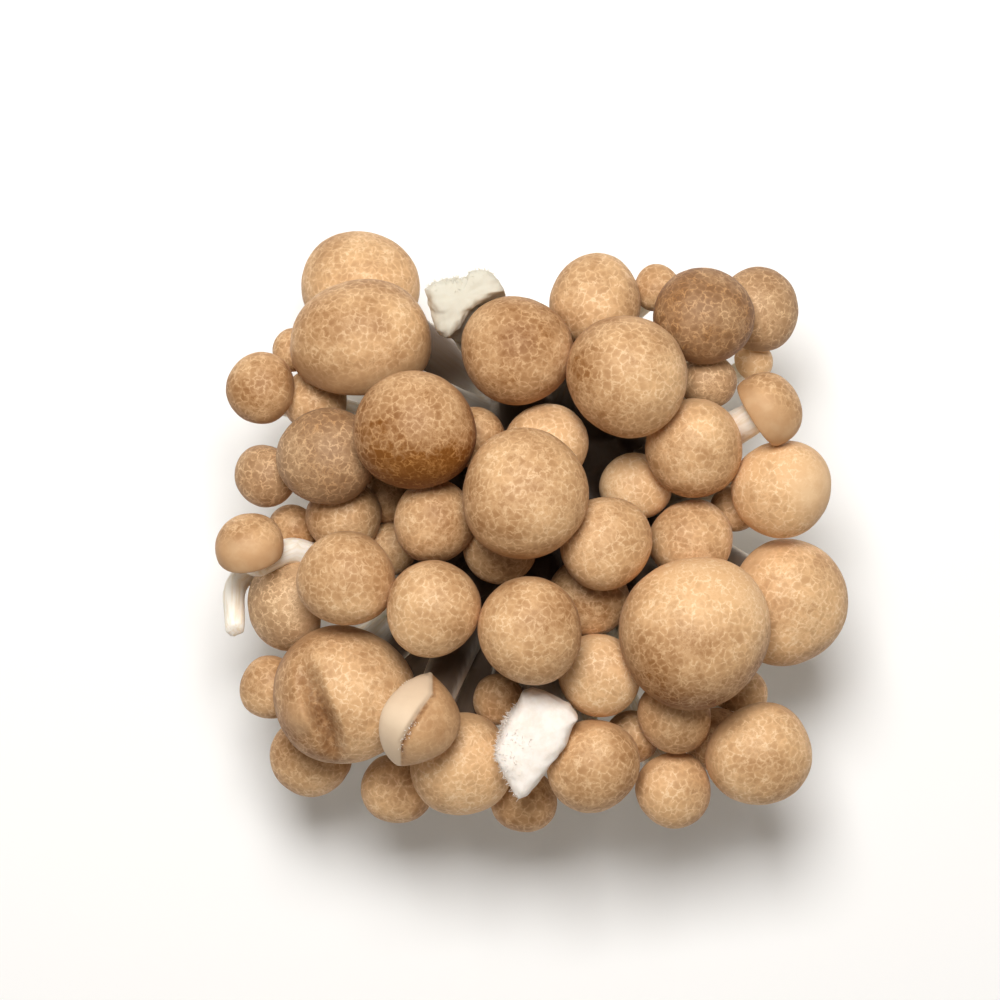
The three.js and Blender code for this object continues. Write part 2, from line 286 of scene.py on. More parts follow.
def makeCapSkin():
    material, shader, add = newMaterial("mushroom cap skin")
    place = add("ShaderNodeTexCoord").outputs["Object"]
    rise, smooth, tone, grey, hollow, under = (
        add("ShaderNodeAttribute", {"attribute_name": name}).outputs["Fac"]
        for name in ("rise", "smooth", "tone", "grey", "hollow", "under")
    )
    inputs = [place, 1 / skin["strayLength"], skin["strayDetail"], skin["strayRoughness"]]
    stray = add("ShaderNodeTexNoise", None, inputs).outputs["Color"]
    stray = add("ShaderNodeVectorMath", {"operation": "SUBTRACT"}, [stray, (0.5, 0.5, 0.5)])
    stray = add("ShaderNodeVectorMath", {"operation": "SCALE"}, [stray, skin["wander"]])
    strayed = add("ShaderNodeVectorMath", {"operation": "ADD"}, [place, stray])
    toEdge = {"feature": "DISTANCE_TO_EDGE"}
    edge = add("ShaderNodeTexVoronoi", toEdge, [strayed, 1 / skin["cell"]])
    smallEdge = add("ShaderNodeTexVoronoi", toEdge, [strayed, 1 / skin["smallCell"]])
    cellColour = add("ShaderNodeTexVoronoi", None, [strayed, 1 / skin["cell"]]).outputs["Color"]
    ownShade = add("ShaderNodeSeparateColor", None, [cellColour])

    made = {}
    for name, (size, detail, *ends) in skinNoises.items():
        cloud = add("ShaderNodeTexNoise", None, [place, 1 / size, detail])
        made[name] = add(*eased, [cloud, *ends])
    followed = {"line": edge, "fineLine": smallEdge, "middle": edge, "ownShade": ownShade, "textured": rise}
    followed["rimTone"] = rise
    for name, source in followed.items():
        made[name] = add(*eased, [source, *skinRanges[name]])
    line = add(*times, [made["line"], made["worn"]])
    fineLine = add(*times, [made["fineLine"], made["patchy"]])
    textured = add("ShaderNodeMath", {"operation": "SUBTRACT", "use_clamp": True}, [made["textured"], smooth])
    net = add(*times, [add(*largest, [line, fineLine]), textured])

    depth = add(*plus, [made["middle"], made["ownShade"]])
    depth = add(*times, [depth, textured])
    # painted shade towards the rim
    depth = add(*plus, [depth, made["rimTone"]])
    dark = add(*plus, [tone, made["patches"]])
    dark = add("ShaderNodeMath", {"operation": "ADD", "use_clamp": True}, [dark, depth])
    thread = add(*blend, [dark, skin["paleNet"], skin["darkNet"]])
    bare = add(*blend, [made["bareness"], skin["smoothSkin"], skin["paleNet"]])
    bare = add(*blend, [tone, bare, skin["darkSmooth"]])
    bareShare = add(*times, [smooth, skin["mostSmooth"]])
    # painted shade in folds and cracks, broken up by noise
    foldShadeShare = add(*times, [hollow, made["torn"]])
    colour = skin["paleCell"]
    layers = [
        (dark, skin["darkCell"]),
        (grey, skin["greyCell"]),
        (net, thread),
        (bareShare, bare),
        (foldShadeShare, skin["hollow"]),
        (under, skin["underside"]),
    ]
    for share, over in layers:
        colour = add(*blend, [share, colour, over])

    grain = add("ShaderNodeTexNoise", None, [place, 1 / skin["grain"], 1])
    bump = add("ShaderNodeBump", None, {"Height": grain, **skin["grainBump"]})
    roughness = add(*eased, [net, *skinRanges["roughness"]])
    fill(shader, {"Base Color": colour, "Normal": bump, "Roughness": roughness, **skin["finish"]})
    return material


# stem flesh: firm cream white flesh with fine fibres along it, tanned where the clump was cut off its block,
# and with painted shade on the stems deep in the clump
flesh = {
    "cream": "fbf4e8",
    "fibre": "ecdcc2",
    # painted shade, for stems deep in the clump
    "shaded": "57412f",
    "tan": "cdb08a",
    "fibreWidth": 0.5 * mm,
    "fibreLength": 9 * mm,
    "fibreRange": (0.42, 0.68, 0, 0.8),
    "fibreBump": {"Distance": 0.12 * mm, "Strength": 0.5},
    "blotch": 5 * mm,
    "blotchRange": (0.35, 0.6),
    "tanRange": (0, 9 * mm, 0.9, 0),  # from the foot up to this height
    "finish": {
        "Roughness": 0.5,
        "Specular IOR Level": 0.4,
        "Subsurface Weight": 0.12,
        "Subsurface Radius": (1.0, 0.75, 0.5),
        "Subsurface Scale": 1.2 * mm,
    },
}


def makeStemFlesh():
    material, shader, add = newMaterial("mushroom stem flesh")
    place = add("ShaderNodeTexCoord").outputs["Object"]
    along = add("ShaderNodeAttribute", {"attribute_name": "alongStem"}).outputs["Vector"]
    # how much painted shade each place on the stems gets
    inside = add("ShaderNodeAttribute", {"attribute_name": "inside"}).outputs["Fac"]
    squeeze = flesh["fibreWidth"] / flesh["fibreLength"]
    stretched = add("ShaderNodeVectorMath", {"operation": "MULTIPLY"}, [along, (1, 1, squeeze)])
    fibres = add("ShaderNodeTexNoise", None, [stretched, 1 / flesh["fibreWidth"], 3])
    blotches = add("ShaderNodeTexNoise", None, [place, 1 / flesh["blotch"], 4])
    height = add("ShaderNodeSeparateXYZ", None, [place]).outputs["Z"]
    fibreShare = add(*eased, [fibres, *flesh["fibreRange"]])
    low = add(*eased, [height, *flesh["tanRange"]])
    blotchShare = add(*eased, [blotches, *flesh["blotchRange"]])
    tanShare = add(*times, [low, blotchShare])
    colour = flesh["cream"]
    for share, over in ((fibreShare, "fibre"), (tanShare, "tan"), (inside, "shaded")):
        colour = add(*blend, [share, colour, flesh[over]])
    bump = add("ShaderNodeBump", None, {"Height": fibres, **flesh["fibreBump"]})
    fill(shader, {"Base Color": colour, "Normal": bump, **flesh["finish"]})
    return material


# gill flesh: thin pale blades, a little yellower than the stems
blade = {
    "pale": "f1e3cb",
    "mottle": "dcc4a0",
    "mottleSize": 2 * mm,
    "mottleRange": (0.35, 0.7),
    "roughness": 0.6,
}


def makeGillFlesh():
    material, shader, add = newMaterial("mushroom gill flesh")
    place = add("ShaderNodeTexCoord").outputs["Object"]
    mottle = add("ShaderNodeTexNoise", None, [place, 1 / blade["mottleSize"], 3])
    share = add(*eased, [mottle, *blade["mottleRange"]])
    colour = add(*blend, [share, blade["pale"], blade["mottle"]])
    fill(shader, {"Base Color": colour, "Roughness": blade["roughness"]})
    return material


# torn flesh: matt and nearly white, the broken inside of a stem, yellower where it has dried
broken = {
    "fresh": "f4ece3",
    "mottle": "eadfd2",
    "dried": "cdc8b5",
    "mottleSize": 1.6 * mm,
    "mottleRange": (0.35, 0.75),
    "mottleBump": {"Distance": 0.2 * mm, "Strength": 0.5},
    "finish": {
        "Roughness": 0.75,
        "Specular IOR Level": 0.3,
        "Subsurface Weight": 0.15,
        "Subsurface Radius": (1.0, 0.8, 0.6),
        "Subsurface Scale": 1.2 * mm,
    },
}


def makeTornFlesh():
    material, shader, add = newMaterial("torn mushroom flesh")
    place = add("ShaderNodeTexCoord").outputs["Object"]
    dried = add("ShaderNodeAttribute", {"attribute_name": "dried"}).outputs["Fac"]
    mottle = add("ShaderNodeTexNoise", None, [place, 1 / broken["mottleSize"], 5, 0.6])
    share = add(*eased, [mottle, *broken["mottleRange"]])
    colour = add(*blend, [share, broken["fresh"], broken["mottle"]])
    colour = add(*blend, [dried, colour, broken["dried"]])
    bump = add("ShaderNodeBump", None, {"Height": mottle, **broken["mottleBump"]})
    fill(shader, {"Base Color": colour, "Normal": bump, **broken["finish"]})
    return material


capSkin = makeCapSkin()
stemFlesh = makeStemFlesh()
gillFlesh = makeGillFlesh()
tornFlesh = makeTornFlesh()
print("materials")


# caps: where each one sits and how large it is comes from the two poles of its solid
capShape = {
    "top": 0.94,  # lengths are shares of the cap's radius
    "widest": 0.02,
    "seat": -0.12,
    "middle": 0.305,
    "half": 0.635,
    "roundness": 2.1,
    "rimMiddle": 0.885,
    "rimHalf": 0.115,
    "rimDepth": 0.35,
    "lipDepth": 0.14,
    "under": (0.35, 0.75),  # between these shares of the way round the rim the skin ends
    "roof": [(0.72, -0.13), (0.6, -0.05), (0.42, 0.0), (0.22, 0.02)],
    "waves": [(0.025, 2, 1.7), (0.015, 3, 2.9)],  # size, how many, and their turn from cap to cap
    "lump": 0.03,
    "lumpSize": 0.9,
    "dimple": 0.007,
    "dimpleSize": 0.24,
    "noiseSteps": (7.3, 3.1, 5.7),
    "domeRings": 26,
    "rimRings": 12,
    "sides": [(9 * mm, 96), (6 * mm, 80), (0, 64)],  # how many above each radius
    "rimSmooth": 0.22,
    "rimRise": 0.3,
}
# how brown each cap is, 0 to 1, and how grey; some get painted shade, darker on the side towards a direction
tones = {
    1: 0.33, 2: 0.82, 3: 0.34, 4: 0.42, 5: 0.52, 6: 0.32, 7: 0.4, 8: 0.34, 9: 0.32, 10: 0.53, 11: 0.3,
    12: 0.3, 13: 0.34, 14: 0.04, 15: 0.14, 16: 0.04, 17: 0.72, 18: 0.4, 19: 0.18, 20: 0.36, 21: 0.16, 22: 0.5,
    23: 0.35, 24: 0.25, 25: 0.36, 26: 0.36, 27: 0.2, 28: 0.0, 35: 0.6, 36: 0.5, 39: 0.5, 40: 0.0,
}
greyCaps = {17: 0.4, 21: 0.4, 22: 0.35, 35: 0.5, 36: 0.4, 39: 0.35}
shadedSides = {1: (270, 0.5), 2: (270, 0.5), 3: (150, 0.3), 6: (200, 0.25), 11: (290, 0.25)}
usualTone = 0.42
toneSpread = 0.05
fineCaps = (5, 6)  # with twice the corners, for their folds

# sides of caps where the net has worn off: where each lies, and the closeness at which it starts and is full
wornSides = {
    16: {"towards": 0, "lean": 60, "from": 0.5, "to": 1.1, "most": 0.7},
    18: {"towards": 235, "lean": 70, "from": 0.0, "to": 0.7, "most": 0.85},
    45: {"towards": 270, "lean": 80, "from": -0.2, "to": 0.6, "most": 0.9},
}

# folds and tears in caps, as paths seen from above, with painted shade along their hollows
folds = {
    5: {
        "path": [
            (-17.4, -25.6), (-17.3, -29.2), (-19.3, -31.8), (-21.0, -34.5), (-22.5, -37.2), (-22.6, -41.2),
        ],
        "width": 1.0 * mm,
        "depth": 0.8 * mm,
        # how much painted shade lies in the fold
        "hollow": 0.75,
        "frayed": (0.5, 0.86),  # shares of the path between which it is torn open
    },
    6: {
        "path": [
            (-38.9, -24.6), (-37.9, -27.9), (-36.5, -32.0), (-34.9, -35.6), (-34.3, -38.6), (-34.1, -40.8),
        ],
        "width": 3.0 * mm,
        "depth": 3.3 * mm,
        # how much painted shade lies in the fold
        "hollow": 0.72,
    },
}
foldShape = {
    "wave": (0.05, 0.95),  # its depth along the path follows this much of half a wave
    "fullness": 0.8,
    "core": 0.2,  # share of the width that is torn right open
    "crackWidth": 0.5 * mm,
    "crackLeast": 0.05 * mm,
    "crackCore": 0.3,
    "crackLength": 0.9 * mm,
}
bulges = {
    6: {"place": (-40.0, -33.4), "width": 4.2 * mm, "height": 1.1 * mm, "core": 0.1, "worn": (0.3, 0.9, 0.5)},
}
# a cap pressed to a point at both ends of one way, bare and pale on the left of its fold
pinched = {
    "cap": 5,
    "towards": 72,
    "power": 0.36,
    "thinnest": 0.03,
    "smooth": 0.4,
    "bareFrom": -0.4 * mm,
    "bareTo": 0.5 * mm,
    "pale": 0.55,
}
# caps pressed flatter on one side: the direction of that side, and by how much of the radius
flattened = {5: (320, 0.3), 9: (275, 0.2)}


def readCap(number):
    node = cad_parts["cap_%02d" % number]
    corners = [node.data.vertices[i].co for face in node.data.polygons for i in face.vertices]
    meetings = Counter(tuple(round(c, 6) for c in corner) for corner in corners)
    poles = sorted((Vector(place) for place, _ in meetings.most_common(2)), key=lambda place: place.z)
    reach = poles[1] - poles[0]
    radius = reach.length / (capShape["top"] - capShape["seat"])
    axis = reach.normalized()
    origin = poles[1] - axis * capShape["top"] * radius
    return {
        "number": number,
        "radius": radius,
        "axis": axis,
        "origin": origin,
        "centre": origin + axis * capShape["middle"] * radius,
        "seat": poles[0],
    }


# (radius, height, how high on the dome, how far under) for each ring from the crown to the roof over
# the gills
def capProfile(finer):
    power = 2 / capShape["roundness"]
    span = capShape["top"] - capShape["widest"]
    rings = []
    domeRings, rimRings = finer * capShape["domeRings"], finer * capShape["rimRings"]
    for i in range(1, domeRings + 1):
        angle = i / domeRings * math.pi / 2
        height = capShape["widest"] + span * max(math.cos(angle), 0) ** power
        rings.append((math.sin(angle) ** power, height, (height - capShape["widest"]) / span, 0))
    for i in range(1, rimRings + 1):
        angle = i / rimRings * math.pi
        across = capShape["rimMiddle"] + capShape["rimHalf"] * math.cos(angle)
        lowest = capShape["widest"] - capShape["rimDepth"]
        if angle <= math.pi / 2:
            height = capShape["widest"] - capShape["rimDepth"] * math.sin(angle)
        else:
            height = lowest + capShape["lipDepth"] * (1 - math.sin(angle))
        rings.append((across, height, 0, smoothStep(*capShape["under"], i / rimRings)))
    rings += [(across, height, 0, 1) for across, height in capShape["roof"]]
    return rings


def shapedPoint(cap, across, turn, height):
    index = cap["number"] - 1
    wave = sum((size * math.sin(count * turn + index * step) for size, count, step in capShape["waves"]), 1)
    place = Vector((across * wave * math.cos(turn), across * wave * math.sin(turn), height))
    shift = Vector([index * step for step in capShape["noiseSteps"]])
    lump = capShape["lump"] * noise.noise(place / capShape["lumpSize"] + shift)
    dimple = capShape["dimple"] * noise.noise(place / capShape["dimpleSize"] + shift)
    outward = Vector((place.x, place.y, height - capShape["widest"])).normalized()
    return place + outward * (lump + dimple)


# distance of a place from a path seen from above, how far along the path, and whether it lies left of it
def besidePath(place, path):
    flat = Vector((place.x, place.y))
    corners = [Vector(corner) * mm for corner in path]
    nearest = (1, 0, False)
    for i, (start, end) in enumerate(zip(corners, corners[1:])):
        along = end - start
        share = min(max((flat - start).dot(along) / along.length_squared, 0), 1)
        away = flat - start - along * share
        nearest = min(nearest, (away.length, (i + share) / (len(corners) - 1), along.cross(away) < 0))
    return nearest


def besideBulge(place, bulge):
    return (Vector((place.x, place.y)) - Vector(bulge["place"]) * mm).length / bulge["width"]


# painted shade: a dark, uneven crack along the torn share of a fold
def crackAt(fold, place):
    if "frayed" not in fold:
        return 0
    aside, share, _ = besidePath(place, fold["path"])
    start, end = fold["frayed"]
    width = foldShape["crackWidth"] * (0.5 + noise.noise(place / foldShape["crackLength"]))
    aside /= max(width, foldShape["crackLeast"])
    return (1 - smoothStep(foldShape["crackCore"], 1, aside)) * (start < share < end)


def folded(number, place):
    hollow = 0
    if number in bulges:
        bulge = bulges[number]
        aside = besideBulge(place, bulge)
        place = place + up * bulge["height"] * (1 - smoothStep(bulge["core"], 1, aside))
    if number in folds:
        fold = folds[number]
        aside, share, _ = besidePath(place, fold["path"])
        fade = math.sin(math.pi * mix(*foldShape["wave"], share)) ** foldShape["fullness"]
        drop = fade * (1 - smoothStep(0, 1, aside / fold["width"]))
        place = place - up * fold["depth"] * drop
        # painted shade in the fold's hollow and its crack
        hollow = max(fold["hollow"] * drop, crackAt(fold, place))
    return place, hollow


def tornOpen(fold, place):
    aside, share, _ = besidePath(place, fold["path"])
    start, end = fold["frayed"]
    return (1 - smoothStep(foldShape["core"], 1, aside / fold["width"])) * (start < share < end)


# a cap pressed thin towards both ends of one direction, for a point about its own axis
def pressedEnds(point):
    turn = math.radians(pinched["towards"])
    along, across = Vector((math.cos(turn), math.sin(turn), 0)), Vector((-math.sin(turn), math.cos(turn), 0))
    share = point.dot(along)
    thin = max(1 - share * share, pinched["thinnest"]) ** pinched["power"]
    return along * share + across * point.dot(across) * thin + up * point.z * thin


def pressedSide(number, point):
    towards, share = flattened[number]
    side = directionOf(90, towards)
    return point - side * max(point.dot(side), 0) * share


def smoothnessOf(cap, place, rise):
    number = cap["number"]
    smooth = capShape["rimSmooth"] * (1 - smoothStep(0, capShape["rimRise"], rise))
    if number in wornSides:
        side = wornSides[number]
        near = (place - cap["centre"]).normalized().dot(directionOf(side["lean"], side["towards"]))
        smooth = max(smooth, side["most"] * smoothStep(side["from"], side["to"], near))
    if number == pinched["cap"]:
        aside, _, left = besidePath(place, folds[number]["path"])
        bare = smoothStep(pinched["bareFrom"], pinched["bareTo"], aside if left else -aside)
        smooth = max(smooth, bare, pinched["smooth"])
    if number in bulges:
        start, end, most = bulges[number]["worn"]
        smooth = max(smooth, most * (1 - smoothStep(start, end, besideBulge(place, bulges[number]))))
    return smooth


def makeCap(cap):
    number = cap["number"]
    finer = 2 if number in fineCaps else 1
    sides = finer * next(count for least, count in capShape["sides"] if cap["radius"] > least)
    rings = capProfile(finer)
    turned = up.rotation_difference(cap["axis"])
    points = [shapedPoint(cap, 0, 0, capShape["top"])]
    for across, height, _, _ in rings:
        points += [shapedPoint(cap, across, 2 * math.pi * i / sides, height) for i in range(sides)]
    points.append(Vector((0, 0, capShape["roof"][-1][1])))
    if number == pinched["cap"]:
        points = [pressedEnds(point) for point in points]
    if number in flattened:
        points = [pressedSide(number, point) for point in points]
    places = [cap["origin"] + turned @ (point * cap["radius"]) for point in points]
    rise = [1] + [ring[2] for ring in rings for _ in range(sides)] + [0]
    under = [0] + [ring[3] for ring in rings for _ in range(sides)] + [1]
    smooth = [smoothnessOf(cap, place, high) for place, high in zip(places, rise)]
    if number == pinched["cap"]:
        pale = [pinched["pale"] * smoothStep(pinched["smooth"], 1, bare) for bare in smooth]
        under = [max(pair) for pair in zip(under, pale)]
    hollow = [0] * len(places)
    if number in folds:
        shaped = [folded(number, place) if place.z > cap["origin"].z else (place, 0) for place in places]
        places, hollow = zip(*shaped)
    tone = tones.get(number, usualTone) + toneDraw.uniform(-toneSpread, toneSpread)
    # painted shade on one side of some caps, laid over their tone
    towards, sideShade = shadedSides.get(number, (0, 0))
    side = directionOf(90, towards)
    sunk = [(place - cap["origin"]).dot(side) / cap["radius"] for place in places]
    values = {
        "rise": rise,
        "under": under,
        "smooth": smooth,
        "hollow": hollow,
        "tone": [tone + sideShade * share for share in sunk],
        "grey": [greyCaps.get(number, 0)] * len(places),
    }
    if "frayed" in folds.get(number, {}):
        values["fray"] = [tornOpen(folds[number], place) for place in places]
    piece = meshObject("fine_cap_%02d" % number, places, closedFaces(len(rings), sides))
    for name, each in values.items():
        storeValues(piece.data, name, each)
    piece.data.materials.append(capSkin)
    keep(piece, "cap_skin", "cap_%02d" % number)
    return piece


toneDraw = random.Random(11)
capCount = sum(name.startswith("cap_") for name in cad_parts)
caps = [readCap(number) for number in range(1, capCount + 1)]
fineCapPieces = {cap["number"]: makeCap(cap) for cap in caps}
print("%d caps" % len(caps))


# gills: thin blades from the stem out to the rim, one ring of them for each cap
gills = {
    "Gill Count": 60,
    "Inner Reach": 0.3,  # shares of the cap's radius
    "Outer Reach": 0.79,
    "Thickness": 0.022,
    "Inner Drop": -0.09,
    "Outer Drop": -0.29,
    "Roof": 0.04,
    "Outer Roof": -0.12,
}


def newTree(name, inputs):
    tree = bpy.data.node_groups.new(name, "GeometryNodeTree")
    tree.interface.new_socket("Geometry", in_out="INPUT", socket_type="NodeSocketGeometry")
    tree.interface.new_socket("Geometry", in_out="OUTPUT", socket_type="NodeSocketGeometry")
    kinds = {int: "NodeSocketInt", float: "NodeSocketFloat"}
    for title, value in inputs.items():
        tree.interface.new_socket(title, in_out="INPUT", socket_type=kinds[type(value)])
    tree.interface.new_socket("Material", in_out="INPUT", socket_type="NodeSocketMaterial")
    add = partial(addNode, tree)
    return tree, add, add("NodeGroupInput").outputs, add("NodeGroupOutput")


def closeTree(add, given, output, geometry):
    real = add("GeometryNodeRealizeInstances", None, [geometry])
    fill(output, [add("GeometryNodeSetMaterial", None, {"Geometry": real, "Material": given["Material"]})])


def useTree(piece, tree, inputs, material):
    modifier = piece.modifiers.new(tree.name, "NODES")
    modifier.node_group = tree
    for item in tree.interface.items_tree:
        if item.in_out == "INPUT" and item.name in inputs:
            modifier[item.identifier] = inputs[item.name]
        elif item.in_out == "INPUT" and item.name == "Material":
            modifier[item.identifier] = material


def makeGillTree():
    tree, add, given, output = newTree("gills under a cap", gills)
    bladeSize = {"Size": (1, 1, 1), "Vertices X": 5, "Vertices Y": 2, "Vertices Z": 2}
    gill = add("GeometryNodeMeshCube", None, bladeSize)
    place = add("ShaderNodeSeparateXYZ", None, [add("GeometryNodeInputPosition")]).outputs
    along = add(*plus, [place["X"], 0.5])
    high = add(*plus, [place["Z"], 0.5])
    reach = add(*between, [along, given["Inner Reach"], given["Outer Reach"]])
    bottom = add(*between, [along, given["Inner Drop"], given["Outer Drop"]])
    top = add(*between, [along, given["Roof"], given["Outer Roof"]])
    height = add(*between, [high, bottom, top])
    thin = add(*times, [place["Y"], given["Thickness"]])
    spot = add("ShaderNodeCombineXYZ", None, [reach, thin, height])
    gill = add("GeometryNodeSetPosition", None, {"Geometry": gill, "Position": spot})

    ring = add("GeometryNodeMeshLine", None, {"Count": given["Gill Count"], "Offset": (0, 0, 0)})
    inputs = [add("GeometryNodeInputIndex"), given["Gill Count"]]
    turn = add(*times, [add("ShaderNodeMath", {"operation": "DIVIDE"}, inputs), 2 * math.pi])
    turned = add("FunctionNodeAxisAngleToRotation", None, {"Axis": (0, 0, 1), "Angle": turn})
    fan = add("GeometryNodeInstanceOnPoints", None, {"Points": ring, "Instance": gill, "Rotation": turned})
    fan = add("GeometryNodeRealizeInstances", None, [fan])

    facing = add("GeometryNodeInputNamedAttribute", {"data_type": "FLOAT_VECTOR"}, ["facing"])
    size = add(*stored, ["size"])
    upright = add("FunctionNodeAlignRotationToVector", {"axis": "Z"}, {"Vector": facing})
    inputs = {"Points": given["Geometry"], "Instance": fan, "Rotation": upright, "Scale": size}
    closeTree(add, given, output, add("GeometryNodeInstanceOnPoints", None, inputs))
    return tree


# the gills under a flattened cap are flattened with it
def pressGills(piece):
    for number in flattened:
        cap = caps[number - 1]
        turned = up.rotation_difference(cap["axis"])
        back = turned.inverted()
        for vertex in piece.data.vertices:
            away = vertex.co - cap["origin"]
            if away.length < cap["radius"]:
                vertex.co = cap["origin"] + turned @ pressedSide(number, back @ away)


def makeGills():
    host = meshObject("gill host", [cap["origin"] for cap in caps], [])
    storeVectors(host.data, "facing", [cap["axis"] for cap in caps])
    storeValues(host.data, "size", [cap["radius"] for cap in caps])
    useTree(host, makeGillTree(), gills, gillFlesh)
    piece = bakedCopy(host, "gills")
    pressGills(piece)
    keep(piece, "stem_flesh")
    print("gills: %d faces" % len(piece.data.polygons))


makeGills()


# stems: each rises from its foot in the base, bends round the caps in its way and meets its own cap
stems = {
    "neckPerCap": 0.34,
    "thinnest": 1.6 * mm,
    "thickest": 3.7 * mm,
    "rootRadius": 28 * mm,
    "footDepth": 7 * mm,
    "footMargin": 1 * mm,
    "footSpacing": 6.2 * mm,
    "footPasses": 120,
    "spread": 0.52,
    "flare": 0.2,
    "rise": 0.36,
    "fall": 0.3,
    "joints": 9,
    "passes": 80,
    "stiffness": 0.15,
    "give": 0.6,
    "gap": 0.3 * mm,
    "intoCap": 0.12,
    "straight": {5: 1 * mm, 45: 16 * mm},  # how far these stems keep to the cap's axis
    "stout": {18: 2.7 * mm},  # necks of these caps
    "voxel": 0.75 * mm,
    "softening": (0.5, 4),
    "steps": 8,
    "flat": 0.45 * mm,  # below this the base is cut off level
}
tornStems = [
    {"place": (0.2, -37.6, 46), "radius": 4.2, "lean": 25, "towards": 250},
    {"place": (-12.6, 37.0, 44), "radius": 4.4, "lean": 28, "towards": 116},
    {"place": (-51.8, -19.5, 37), "radius": 1.8, "lean": 70, "towards": 232},
]
# painted shade on the stems deep inside the clump and in the hollows between the caps
shade = {
    "reach": (26 * mm, 48 * mm),  # of the clump, low down and at the crown
    "heights": (10 * mm, 40 * mm),  # where the clump starts to widen, and over what height
    "edge": (0.55, 0.88),  # shares of that reach between which the painted shade ends
    # hollows between the caps that get painted shade: middle and reach in mm
    "wells": [(-12, -27, 12), (-17, 29, 12), (34, -6, 5), (15, 8, 9), (-20, -23, 8)],
    "wellBottom": (11 * mm, 18 * mm),
    "wellEdge": (0.6, 1),
    "wellFacing": (0.05, 0.45),  # only what faces up gets painted shade in a well
    "most": 0.95,
}
stemTreeInputs = {
    "Foot Share": 1.25,
    "Thinnest Foot": 2.2 * mm,
    "Thickest Foot": 4.2 * mm,
    "Swell": 0.16,
    "Sides": 20,
    "Rings": 40,
}
butt = {
    "radius": 28 * mm,
    "height": 12 * mm,
    "crown": 23 * mm,
    "outline": [(0.88, 0), (0.96, 0.12), (1, 0.6), (0.94, 1)],  # shares of the radius and the height
    "crownOutline": [(0.8, 0.66), (0.6, 0.84), (0.3, 0.96)],  # the same above that, of the crown
    "waves": [(0.045, 3, 0.6), (0.03, 5, 2.1)],  # size, how many, and turn
    "sides": 72,
    "lump": 1.1 * mm,
    "lumpSize": 9 * mm,
}


def placeFeet(seats):
    edge = stems["rootRadius"] - stems["thickest"] - stems["footMargin"]
    feet = [Vector((seat.x, seat.y)) * stems["spread"] for seat in seats]
    for _ in range(stems["footPasses"]):
        for i in range(len(feet)):
            for j in range(i):
                apart = feet[i] - feet[j]
                short = stems["footSpacing"] - apart.length
                if short <= 0:
                    continue
                apart.length = short / 2
                feet[i] += apart
                feet[j] -= apart
        for foot in feet:
            if foot.length > edge:
                foot.length = edge
    return feet


def bezierPoints(corners, count):
    points = []
    for i in range(count + 1):
        t = i / count
        weights = ((1 - t) ** 3, 3 * t * (1 - t) ** 2, 3 * t * t * (1 - t), t**3)
        points.append(sum((corner * weight for corner, weight in zip(corners, weights)), Vector()))
    return points


def routeStem(foot, top, obstacles):
    start = Vector((foot.x, foot.y, stems["footDepth"]))
    end = top["seat"] - top["axis"] * stems["gap"]
    length = (start - end).length
    rise = start + Vector((foot.x * stems["flare"], foot.y * stems["flare"], length * stems["rise"]))
    fall = end - top["axis"] * stems["straight"].get(top["number"], length * stems["fall"])
    points = bezierPoints((start, rise, fall, end), stems["joints"])
    last = len(points) - 1
    for _ in range(stems["passes"]):
        for i in range(2, last):
            if i < last - 1:
                points[i] = points[i].lerp((points[i - 1] + points[i + 1]) / 2, stems["stiffness"])
            for cap in obstacles:
                away = points[i] - cap["centre"]
                distance = away.length
                if distance > cap["radius"] + top["neck"] + stems["gap"]:
                    continue
                lean = away.dot(cap["axis"]) / distance
                reach = cap["radius"] * math.sqrt(1 - lean * lean * (1 - capShape["half"] ** 2))
                room = reach + top["neck"] + stems["gap"]
                if distance < room:
                    aside = Vector((away.x, away.y, 0))
                    aside.length = (room - distance) * stems["give"]
                    points[i] += aside
    return points


def makeTops():
    tops = []
    for cap in caps:
        neck = min(max(stems["neckPerCap"] * cap["radius"], stems["thinnest"]), stems["thickest"])
        tops.append({**cap, "neck": stems["stout"].get(cap["number"], neck)})
    for end in tornStems:
        seat, axis = Vector(end["place"]) * mm, directionOf(end["lean"], end["towards"])
        tops.append({"number": 0, "seat": seat, "axis": axis, "neck": end["radius"] * mm})
    return tops


def makeStemTree():
    tree, add, given, output = newTree("round stems on routes", stemTreeInputs)
    curve = add("GeometryNodeMeshToCurve", None, [given["Geometry"]])
    curve = add("GeometryNodeCurveSplineType", {"spline_type": "CATMULL_ROM"}, [curve])
    curve = add("GeometryNodeResampleCurve", None, {"Curve": curve, "Count": given["Rings"]})
    neck = add(*stored, ["neck"])
    share = add("GeometryNodeSplineParameter")
    foot = add(*times, [neck, given["Foot Share"]])
    foot = add(*smallest, [foot, given["Thickest Foot"]])
    foot = add(*largest, [foot, given["Thinnest Foot"]])
    wave = add("ShaderNodeMath", {"operation": "SINE"}, [add(*times, [share, math.pi])])
    swell = add(*times, [wave, add(*times, [neck, given["Swell"]])])
    radius = add(*plus, [add(*between, [share, foot, neck]), swell])
    section = add("GeometryNodeCurvePrimitiveCircle", None, [given["Sides"], 1.0])
    inputs = {"Curve": curve, "Profile Curve": section, "Scale": radius, "Fill Caps": True}
    closeTree(add, given, output, add("GeometryNodeCurveToMesh", None, inputs))
    return tree


